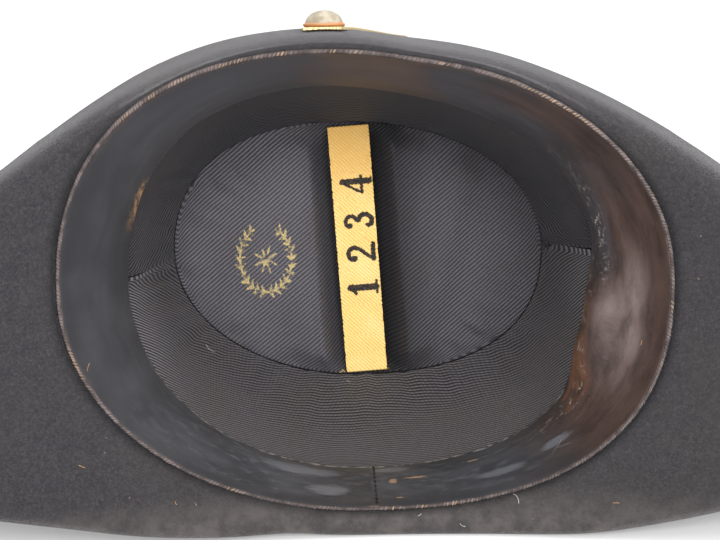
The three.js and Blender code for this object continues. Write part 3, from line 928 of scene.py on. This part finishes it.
def make_sweatband(finish):
    def flat(place, middle):
        middle_angle, _ = band_place(middle)
        angle, share = band_place(place)
        angle = middle_angle + turn_between(angle, middle_angle)
        row = round(share * BAND_ROWS) / BAND_ROWS
        return angle / (2 * math.pi) * BAND_LENGTH, row * BAND_HEIGHT

    def field(place):
        from_seam, share = band_place(place)
        angle = from_seam + BAND_SEAM
        on_ridge = bell_round(angle, BAND_RIDGE["angle"], BAND_RIDGE["width"])
        ridge = BAND_RIDGE["height"] * bell(share, BAND_RIDGE["share"], 0.16)
        lip = BAND_LIP * ease(share, BAND_RIDGE["share"], 1.02)
        bulge = on_ridge * (ridge - lip)
        for crease in BAND_CREASES:
            strength = crease["everywhere"] + crease["on_ridge"] * on_ridge
            bulge += swell(round_way(angle, share * 2.2), crease) * ease(share, *crease["shares"]) * strength
        bulge -= BAND_SLIT["depth"] * bell_round(angle, BAND_SEAM, BAND_SLIT["width"]) * ease(share, 0, 0.1)
        waver = swell(round_way(angle), BAND_WAVER) * ease(share, 0.6, 1)
        low = bell_round(angle, BAND_LOW["angle"], BAND_LOW["width"])
        shorter = BAND_LOW["shorter"] * low * ease(share, 0.25, 1)
        return inward(place) * bulge + INTO_CROWN * (waver - shorter) + sagged(place) - place

    shape = copy_of("sweatband")
    lay_flat(shape, flat)
    band = rounded(finished(shape, "sweatband_leather", finish), 3, field)
    return replaced(band, "sweatband")


# Side lining: soft unevenness, gathers toward the tip, and the laps and pleats at its seams
LINING_SWELL = {"size": 0.3, "seed": 9, "depth": 1.5 * MM}
LINING_GATHERS = {"size": 0.07, "seed": 10, "depth": 0.9 * MM}
LINING_LAP = {"reach": math.radians(3), "over": 1.4 * MM, "raised": 0.7 * MM}
SLANT_REACH = (math.radians(30), math.radians(4))
LOWER_PLEATS = {"left": [
    {"at": math.radians(2.5), "width": math.radians(1.5), "height": 1.6 * MM},
    {"at": math.radians(6.5), "width": math.radians(2), "height": -1.0 * MM},
]}


# Each side panel is cut as part of a ring, so its weave turns from one end to the other
def make_lining_side(node, middle_angle, lap, pleats, finish):
    low, high = LINING_DEPTHS
    ring = PANEL_RADIUS / PANEL_TURN + PANEL_MIDDLE

    def along_and_up(place):
        local = TO_CROWN @ place
        return turn_between(crown_angle(local), middle_angle), (local.y + band_droop(local.x)) - low

    def flat(place, _):
        turn, up = along_and_up(place)
        spread = turn * PANEL_TURN
        return (ring - up) * math.sin(spread), (ring - up) * math.cos(spread) - ring

    def field(place):
        turn, up = along_and_up(place)
        share = up / (high - low)
        angle = turn + middle_angle
        soft = swell(round_way(angle, share * 0.6), LINING_SWELL)
        soft *= ease(share, 0.1, 0.4) * ease(share, 1.0, 0.75)
        gathers = swell(round_way(angle, share * 0.15), LINING_GATHERS)
        gathers *= ease(share, 0.45, 0.9) * ease(share, 1.04, 0.96)
        edges = {name: abs(turn_between(angle, seam)) for name, seam in LINING_SEAMS.items()}
        near = min(edges, key=edges.get)
        lapped = (near == lap) * ease(edges[near], LINING_LAP["reach"], 0) * ease(share, 1.0, 0.9)
        first, last = SEAM_SLANTS[near]
        slant = (first + (last - first) * share) * ease(edges[near], *SLANT_REACH)
        over = math.copysign(LINING_LAP["over"] * lapped, turn) + slant
        pleated = humps(edges[near], pleats.get(near, [])) * ease(share, 1.0, 0.85)
        round_the_crown = FROM_CROWN.to_3x3() @ Vector((-math.sin(angle), 0, math.cos(angle)))
        raised = soft + gathers + LINING_LAP["raised"] * lapped + pleated
        return inward(place) * raised + round_the_crown * over

    shape = copy_of(node)
    lay_flat(shape, flat)
    side = rounded(finished(shape, node + "_twill", finish), 3, field)
    return replaced(side, node)


# Tip of the lining: a valley in place of the source's, ridges across its lobes, and puckers at its seam
TIP_VALLEY = {"depth": 8.7 * MM, "drop": 17 * MM, "walls": (7.5 * MM, 18 * MM)}
SOURCE_VALLEY = {"height": 14 * MM, "width": 22 * MM, "drop": 8 * MM}
TIP_RIDGES = [
    {"at": 34 * MM, "width": 8 * MM, "height": 2.2 * MM},
    {"at": 21 * MM, "width": 7 * MM, "height": -1.6 * MM},
    {"at": -46 * MM, "width": 10 * MM, "height": 1.4 * MM},
    {"at": -27 * MM, "width": 6 * MM, "height": -1.0 * MM},
]
TIP_RIDGE_SLANT = 0.28
TIP_SWELL = {"size": 26 * MM, "seed": 11, "depth": 1.5 * MM}
TIP_PUCKERS = {"size": 0.11, "seed": 12, "depth": 1.5 * MM}


def make_lining_tip(finish):
    low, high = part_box("lining_tip")
    half = ((high.x - low.x) / 2, (high.z - low.z) / 2 * 1.02)

    def reach_of(local):
        return math.hypot(local.x / half[0], local.z / half[1])

    def field(place):
        local = TO_CROWN @ place
        reach = reach_of(local)
        ridge = humps(local.x - TIP_RIDGE_SLANT * local.z, TIP_RIDGES)
        beside = abs(off_ribbon(local.x, local.z))
        floor = TIP_VALLEY["depth"] - TIP_VALLEY["drop"] * ease(beside, *TIP_VALLEY["walls"])
        source = SOURCE_VALLEY["height"] * bell(local.x, 0, SOURCE_VALLEY["width"]) - SOURCE_VALLEY["drop"]
        inside = (floor - source - ridge - swell(local, TIP_SWELL)) * ease(reach, 1.0, 0.8)
        puckers = swell(round_way(math.atan2(local.z, local.x)), TIP_PUCKERS)
        return INTO_CROWN * (inside - puckers * bell(reach, 0.9, 0.1) * ease(reach, 1.0, 0.93))

    # Painted shade at the tip's seam: how far its cloth turns away near its edge
    def seam_shade(vertex):
        reach = reach_of(TO_CROWN @ vertex.co)
        return ease(abs(vertex.normal.dot(INTO_CROWN)), 0.8, 0.5) * ease(reach, 0.93, 0.97)

    shape = copy_of("lining_tip")
    lay_flat(shape, lambda place, _: ((TO_CROWN @ place).x, (TO_CROWN @ place).z))
    tip = rounded(finished(shape, "lining_tip_twill", finish), 3, field)
    carry(tip, "seam_shade", seam_shade)
    return replaced(tip, "lining_tip")


# Numerals as strokes in a box one unit high: a line's two ends or a bow's middle, radius and angles
def line(x0, y0, x1, y1, half):
    return {"path": [Vector((x0, y0)), Vector((x1, y1))], "half": half}


def bow(x, y, radius, start, stop, half, steps=12):
    angles = [math.radians(start + (stop - start) * step / steps) for step in range(steps + 1)]
    path = [Vector((x + radius * math.cos(angle), y + radius * math.sin(angle))) for angle in angles]
    return {"path": path, "half": half}


NUMERALS = {
    "1": [
        line(0.32, 0.06, 0.32, 0.95, 0.11),
        line(0.3, 0.94, 0.12, 0.76, 0.05),
        line(0.1, 0.04, 0.54, 0.04, 0.04),
    ],
    "2": [
        bow(0.3, 0.72, 0.21, 165, -35, 0.075),
        line(0.46, 0.56, 0.1, 0.1, 0.06),
        line(0.08, 0.07, 0.56, 0.07, 0.075),
        line(0.13, 0.72, 0.13, 0.74, 0.1),
    ],
    "3": [
        bow(0.26, 0.75, 0.19, 150, -75, 0.065),
        bow(0.26, 0.27, 0.23, 80, -150, 0.08),
        line(0.11, 0.8, 0.12, 0.8, 0.09),
        line(0.09, 0.18, 0.1, 0.18, 0.09),
    ],
    "4": [
        line(0.42, 0.97, 0.05, 0.34, 0.045),
        line(0.04, 0.3, 0.6, 0.3, 0.05),
        line(0.43, 0.03, 0.43, 0.95, 0.1),
    ],
}
NUMERAL_HEIGHT = 12 * MM
NUMERAL_WIDTH = 0.62
NUMERAL_PLACES = {"1": -15.6 * MM, "2": -1.2 * MM, "3": 12.6 * MM, "4": 27 * MM}
NUMERAL_OFFSET = 1.3 * MM


def off_stroke(point, stroke):
    found = []
    for start, stop in zip(stroke["path"], stroke["path"][1:]):
        way = stop - start
        share = max(0, min(1, (point - start).dot(way) / way.length_squared))
        found.append((point - start - way * share).length)
    return min(found) - stroke["half"]


def off_numerals(x, z):
    """How far a point of the ribbon is outside the numerals, which read up it."""
    found = []
    for digit, place in NUMERAL_PLACES.items():
        along = (z - place) / NUMERAL_HEIGHT + NUMERAL_WIDTH / 2
        up = 0.5 - (x - NUMERAL_OFFSET) / NUMERAL_HEIGHT
        point = Vector((along, up))
        found += [off_stroke(point, stroke) for stroke in NUMERALS[digit]]
    return min(found) * NUMERAL_HEIGHT


# Ribbon drawn across the tip, a little slack, with its numerals' edges carried by its points
RIBBON_GRID = (34, 200)
RIBBON_CURL = 0.35 * MM
RIBBON_SLACK = {"waves": 5, "depth": 0.5 * MM}
RIBBON_SWELL = {"size": 14 * MM, "seed": 13, "depth": 0.35 * MM}
SELVEDGE = {"size": 3 * MM, "seed": 14, "depth": 0.12 * MM}


def make_ribbon(finish):
    width, length = RIBBON_SIZE
    shape = bmesh.new()
    bmesh.ops.create_grid(shape, x_segments=RIBBON_GRID[0], y_segments=RIBBON_GRID[1], size=0.5)
    bmesh.ops.scale(shape, vec=(width, length, 1), verts=shape.verts)
    lay_flat(shape, lambda place, _: (place.x, place.y))
    ink = shape.verts.layers.float.new("ink")
    for vertex in shape.verts:
        x, z = vertex.co.x, vertex.co.y
        vertex[ink] = off_numerals(x, z)
        side = 2 * x / width
        slack = RIBBON_SLACK["depth"] * math.sin(z / length * RIBBON_SLACK["waves"])
        slack += swell(Vector((x, z, 0)), RIBBON_SWELL) + RIBBON_CURL * side**2
        ends = ease(abs(z), length / 2, length * 0.42)
        selvedge = swell(Vector((0, z, 0)), SELVEDGE) * side**3
        vertex.co = Vector((x + selvedge, -slack * ends, z))
    bmesh.ops.solidify(shape, geom=shape.faces[:], thickness=RIBBON_THICKNESS)
    bmesh.ops.rotate(shape, matrix=Matrix.Rotation(RIBBON_TURN, 3, "Y"), verts=shape.verts)
    bmesh.ops.translate(shape, vec=RIBBON_PLACE - Vector((0, RIBBON_THICKNESS, 0)), verts=shape.verts)
    bmesh.ops.transform(shape, matrix=FROM_CROWN, verts=shape.verts)
    bmesh.ops.recalc_face_normals(shape, faces=shape.faces)
    ribbon = finished(shape, "number_ribbon_twill", finish)
    return replaced(ribbon, "number_ribbon")


# Braid strap: the source's strap drawn in a little toward its middle line and pressed into the felt
STRAP = {"near_x": -14.5 * MM, "far_x": 18 * MM, "middle": -0.5 * MM, "drawn_in": 0.14, "sunk": 0.75 * MM}
STRAP_WEAVE = 0.03 * MM


def make_braid(finish):
    low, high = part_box("braid_loop")
    start = Vector((STRAP["near_x"], low.y))
    stop = Vector((STRAP["far_x"], high.y))
    way = (stop - start).normalized()

    def flat(place, _):
        out = Vector((place.x, place.y)) - start
        return out.dot(Vector((way.y, -way.x))), out.dot(way)

    def field(place):
        across, along = flat(place, None)
        weave = STRAP_WEAVE * math.cos(2 * math.pi * (along / CHEVRONS[0] + abs(across) / CHEVRONS[1]))
        drawn = Vector(((STRAP["middle"] - place.x) * STRAP["drawn_in"], 0, weave - STRAP["sunk"]))
        return drawn + rolled(place) + sagged(place) - place

    shape = copy_of("braid_loop")
    bmesh.ops.subdivide_edges(shape, edges=shape.edges, cuts=3, use_grid_fill=True)
    lay_flat(shape, flat)
    braid = rounded(finished(shape, "braid_strap", finish), 2, field)
    return replaced(braid, "braid_loop")


# Button: the source's, a little wider and taller, and set back with the felt under it
BUTTON = {"wider": 0.05, "taller": 0.03, "sunk": 1.7 * MM}


def make_button(finish):
    low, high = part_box("button")
    middle = (low + high) / 2
    foot = Vector((middle.x, middle.y, low.z))
    back = rolled(foot) + sagged(foot) - foot

    def field(place):
        spread = (place - middle) * BUTTON["wider"]
        return Vector((spread.x, spread.y, BUTTON["taller"] * (place.z - low.z) - BUTTON["sunk"])) + back

    button = rounded(finished(copy_of("button"), "domed_button", finish), 2, field)
    return replaced(button, "button")


# Rolled welt along the stitched edge, uneven and thicker at the top
WELT_RADIUS = 0.62 * MM
THICKER_ON_TOP = 0.5
WELT_SWELL = {"size": 3.5 * MM, "seed": 15, "depth": 0.25}


def welt_radius(place):
    return WELT_RADIUS * (1 + THICKER_ON_TOP * on_top(TO_CROWN @ place))


def make_welt(finish):
    cord = bpy.data.curves.new("welt_line", "CURVE")
    cord.dimensions = "3D"
    cord.bevel_depth = WELT_RADIUS
    cord.bevel_resolution = 2
    spline = cord.splines.new("POLY")
    spline.points.add(WELT_STEPS - 1)
    spline.use_cyclic_u = True
    for point, place in zip(spline.points, map(sagged, welt_places)):
        point.co = (*place, 1)
        point.radius = welt_radius(place) / WELT_RADIUS + swell(place, WELT_SWELL)
    drawn = bpy.data.objects.new("welt_line", cord)
    shape = bmesh.new()
    shape.from_mesh(bpy.data.meshes.new_from_object(drawn))
    bpy.data.objects.remove(drawn)
    return sewn(shape, "rim_welt", finish)


# One stitch: a small rounded bead, drawn out along its length
def add_stitch(shape, middle, way, normal, length, radius):
    side = way.cross(normal).normalized()
    over = side.cross(way).normalized()
    columns = Matrix((way.normalized() * (length / 2), side * radius, over * radius)).transposed().to_4x4()
    matrix = Matrix.Translation(middle) @ columns
    return bmesh.ops.create_uvsphere(shape, u_segments=8, v_segments=6, radius=1, matrix=matrix)["verts"]


# Fine whip stitches over the welt, slanted, with uneven tension, and where they are worn to tan
RIM_STITCHES = 470
WHIP = {
    "shift": (-0.2, 0.2),
    "slant": (0.4, 1.3),
    "sunk": (0, 0.12 * MM),
    "length": (1.3 * MM, 2.0 * MM),
    "radius": (0.24 * MM, 0.36 * MM),
    "wear": (0.4, 1),
}
RIM_WEAR = [
    {"angle": 49, "width": 9, "strength": 0.9},
    {"angle": 74, "width": 1.2, "strength": 0.8},
    {"angle": 91, "width": 1, "strength": 0.7},
    {"angle": 95, "width": 1, "strength": 0.9},
    {"angle": 105, "width": 1.2, "strength": 0.9},
    {"angle": 114, "width": 2, "strength": 1.0},
    {"angle": 124, "width": 1.5, "strength": 0.8},
    {"angle": 130, "width": 1.5, "strength": 0.7},
    {"angle": 136, "width": 1.5, "strength": 0.7},
    {"angle": -163, "width": 4, "strength": 0.8},
    {"angle": -118, "width": 1.2, "strength": 0.8},
    {"angle": -86, "width": 1.2, "strength": 0.9},
    {"angle": -80, "width": 1, "strength": 0.9},
    {"angle": -74, "width": 1.5, "strength": 0.8},
    {"angle": -6, "width": 1, "strength": 0.8},
]


def rim_wear(place):
    angle = crown_angle(TO_CROWN @ place)

    def strength(wear):
        return wear["strength"] * bell_round(angle, math.radians(wear["angle"]), math.radians(wear["width"]))

    return max(map(strength, RIM_WEAR))


def make_rim_stitches(finish):
    shape = bmesh.new()
    worn = shape.verts.layers.float.new("worn")
    for i in range(RIM_STITCHES):
        middle, along = on_loop(rim_points, (i + random.uniform(*WHIP["shift"])) / RIM_STITCHES)
        middle = sagged(middle)
        toward_axis = inward(middle)
        way = toward_axis + along * random.uniform(*WHIP["slant"])
        height = welt_radius(middle) - random.uniform(*WHIP["sunk"])
        seat = middle + (toward_axis * 0.1 - INTO_CROWN) * height
        length = random.uniform(*WHIP["length"])
        radius = random.uniform(*WHIP["radius"])
        wear = rim_wear(middle) * random.uniform(*WHIP["wear"])
        for vertex in add_stitch(shape, seat, way, -INTO_CROWN, length, radius):
            vertex[worn] = wear
    return sewn(shape, "rim_stitches", finish)


# Where a line from a point first meets one of these pieces, and which way the piece faces there
def trees_of(pieces):
    graph = bpy.context.evaluated_depsgraph_get()
    return [BVHTree.FromObject(piece, graph) for piece in pieces]


def first_hit(start, way, trees):
    hits = [(*tree.ray_cast(start, way), tree) for tree in trees]
    return min((hit for hit in hits if hit[0]), key=lambda hit: hit[3])


# Stitches down the sweatband's seam, from the first to the last share of its height there
SEAM_STITCHES = {"count": 10, "first": 0.12, "last": 0.94, "length": 3.6 * MM, "radius": 0.45 * MM}


def make_seam_stitches(band, finish):
    shape = bmesh.new()
    trees = trees_of([band])
    way = FROM_CROWN.to_3x3() @ Vector((math.cos(BAND_SEAM), 0, math.sin(BAND_SEAM)))
    step = (SEAM_STITCHES["last"] - SEAM_STITCHES["first"]) / (SEAM_STITCHES["count"] - 1)
    for i in range(SEAM_STITCHES["count"]):
        depth = (BAND_HEIGHT - BAND_LOW["shorter"]) * (SEAM_STITCHES["first"] + step * i)
        place, normal, *_ = first_hit(FROM_CROWN @ Vector((0, depth, 0)), way, trees)
        along = INTO_CROWN + normal.cross(INTO_CROWN) * random.uniform(-0.2, 0.2)
        add_stitch(shape, place, along, normal, SEAM_STITCHES["length"], SEAM_STITCHES["radius"])
    return sewn(shape, "seam_stitches", finish)


# Loose ends of thread and lint: the pixel that each starts from, its heading there, length and bend
LINT = [
    {"pixel": (206, 345), "heading": -75, "length": 4.6, "bend": 110},
    {"pixel": (347, 380), "heading": -90, "length": 1.8, "bend": 70},
    {"pixel": (460, 523), "heading": -70, "length": 2.4, "bend": 90},
    {"pixel": (513, 494), "heading": -30, "length": 4.2, "bend": -70},
    {"pixel": (418, 516), "heading": 20, "length": 1.4, "bend": 40},
]
TAN_FIBRES = [
    {"pixel": (87, 371), "heading": 38, "length": 4.2, "bend": -12},
    {"pixel": (79, 465), "heading": -35, "length": 2.2, "bend": 20},
    {"pixel": (175, 501), "heading": -80, "length": 1.5, "bend": 30},
    {"pixel": (195, 503), "heading": -60, "length": 1.1, "bend": 10},
    {"pixel": (613, 503), "heading": 12, "length": 2.2, "bend": -20},
    {"pixel": (641, 345), "heading": 60, "length": 1.6, "bend": 30},
]
RIBBON_FRAY = [
    {"pixel": (345, 371), "heading": 178, "length": 2.6, "bend": 25},
    {"pixel": (345, 371.5), "heading": 160, "length": 1.8, "bend": -30},
    {"pixel": (386, 368), "heading": -20, "length": 1.2, "bend": 30},
]
THREAD_STEPS = 7
THREAD_RADIUS = 0.09 * MM


def make_threads(name, threads, camera, trees, finish):
    right, up, back = camera.matrix_world.to_3x3().transposed()
    reach = PICTURE[0] * CAMERA_LENS / CAMERA_SENSOR
    shape = bmesh.new()
    for thread in threads:
        x = thread["pixel"][0] - OPENING_PIXEL[0]
        y = OPENING_PIXEL[1] - thread["pixel"][1]
        ray = (right * x + up * y - back * reach).normalized()
        place, normal, _, _, carrier = first_hit(camera.matrix_world.translation, ray, trees)
        step = thread["length"] * MM / THREAD_STEPS
        here = place + normal * THREAD_RADIUS
        for i in range(THREAD_STEPS):
            heading = math.radians(thread["heading"] + thread["bend"] * i / THREAD_STEPS)
            ahead = right * math.cos(heading) + up * math.sin(heading)
            ahead = (ahead - normal * ahead.dot(normal)).normalized()
            place, normal, *_ = carrier.find_nearest(here + ahead * step)
            there = place + normal * THREAD_RADIUS
            add_stitch(shape, (here + there) / 2, there - here, normal, 1.5 * step, THREAD_RADIUS)
            here = there
    return sewn(shape, name, finish)


# Pale floor under an even sky, with a light before the hat, one behind it and a weak one beside it
def make_floor():
    shape = bmesh.new()
    bmesh.ops.create_circle(shape, cap_ends=True, segments=96, radius=5)
    floor = finished(shape, "floor", floor_finish())


def add_softbox(name, place, size, power):
    lamp = bpy.data.lights.new(name, "AREA")
    lamp.shape = "RECTANGLE"
    lamp.size, lamp.size_y = size
    lamp.energy = power
    box = bpy.data.objects.new(name, lamp)
    bpy.context.scene.collection.objects.link(box)
    box.location = place
    box.rotation_euler = (OPENING_MIDDLE - Vector(place)).to_track_quat("-Z", "Y").to_euler()


def add_sky(strength):
    sky = bpy.data.worlds.new("sky")
    sky.use_nodes = True
    sky.node_tree.nodes["Background"].inputs["Color"].default_value = (1, 1, 1, 1)
    sky.node_tree.nodes["Background"].inputs["Strength"].default_value = strength
    bpy.context.scene.world = sky


camera = make_camera()
felt = felt_finish()
brim = make_brim(felt)
make_crown(felt)
band = make_sweatband(leather_finish())
top_of_crown = (LINING_SEAMS["right"] + LINING_SEAMS["left"]) / 2
# The two side panels are one twill, in a painted-shade copy above and a painted-light copy below
shaded_upper_twill = side_finish("shaded_upper_twill", SHADED_UPPER_TONES)
upper_side = make_lining_side("lining_side_upper", top_of_crown, "left", {}, shaded_upper_twill)
lit_lower_twill = side_finish("lit_lower_twill", LIT_LOWER_TONES)
lower_side = make_lining_side("lining_side_lower", top_of_crown + math.pi, "right", LOWER_PLEATS, lit_lower_twill)
tip = make_lining_tip(tip_finish())
make_ribbon(ribbon_finish())
make_braid(braid_finish())
make_button(gilt_finish(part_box("button")[0].z))
make_welt(thread_finish("welt", (0.034, 0.026, 0.025), (0.07, 0.054, 0.051)))
make_rim_stitches(thread_finish("whip_thread", (0.045, 0.036, 0.035), (0.12, 0.097, 0.093)))
make_seam_stitches(band, thread_finish("seam_thread", (0.008, 0.007, 0.007), (0.02, 0.016, 0.015)))
carriers = trees_of([brim, band, upper_side, lower_side, tip])
pale_thread = thread_finish("lint", (0.3, 0.29, 0.28), (0.5, 0.48, 0.47))
make_threads("lint", LINT, camera, carriers, pale_thread)
tan_thread = thread_finish("tan_thread", (0.26, 0.15, 0.07), (0.42, 0.26, 0.12))
make_threads("tan_fibres", TAN_FIBRES, camera, carriers, tan_thread)
yellow_thread = thread_finish("yellow_thread", (0.6, 0.36, 0.08), (0.75, 0.5, 0.16))
make_threads("ribbon_fray", RIBBON_FRAY, camera, carriers, yellow_thread)

make_floor()
add_softbox("front_light", place=(0.1, -1.5, 0.75), size=(1.2, 0.7), power=34)
add_softbox("back_light", place=(0.05, 0.5, 1.5), size=(1.8, 0.9), power=14)
add_softbox("side_light", place=(1.3, -0.4, 1.0), size=(0.8, 0.8), power=11)
add_sky(1.4)
bpy.context.scene.view_settings.view_transform = "Standard"
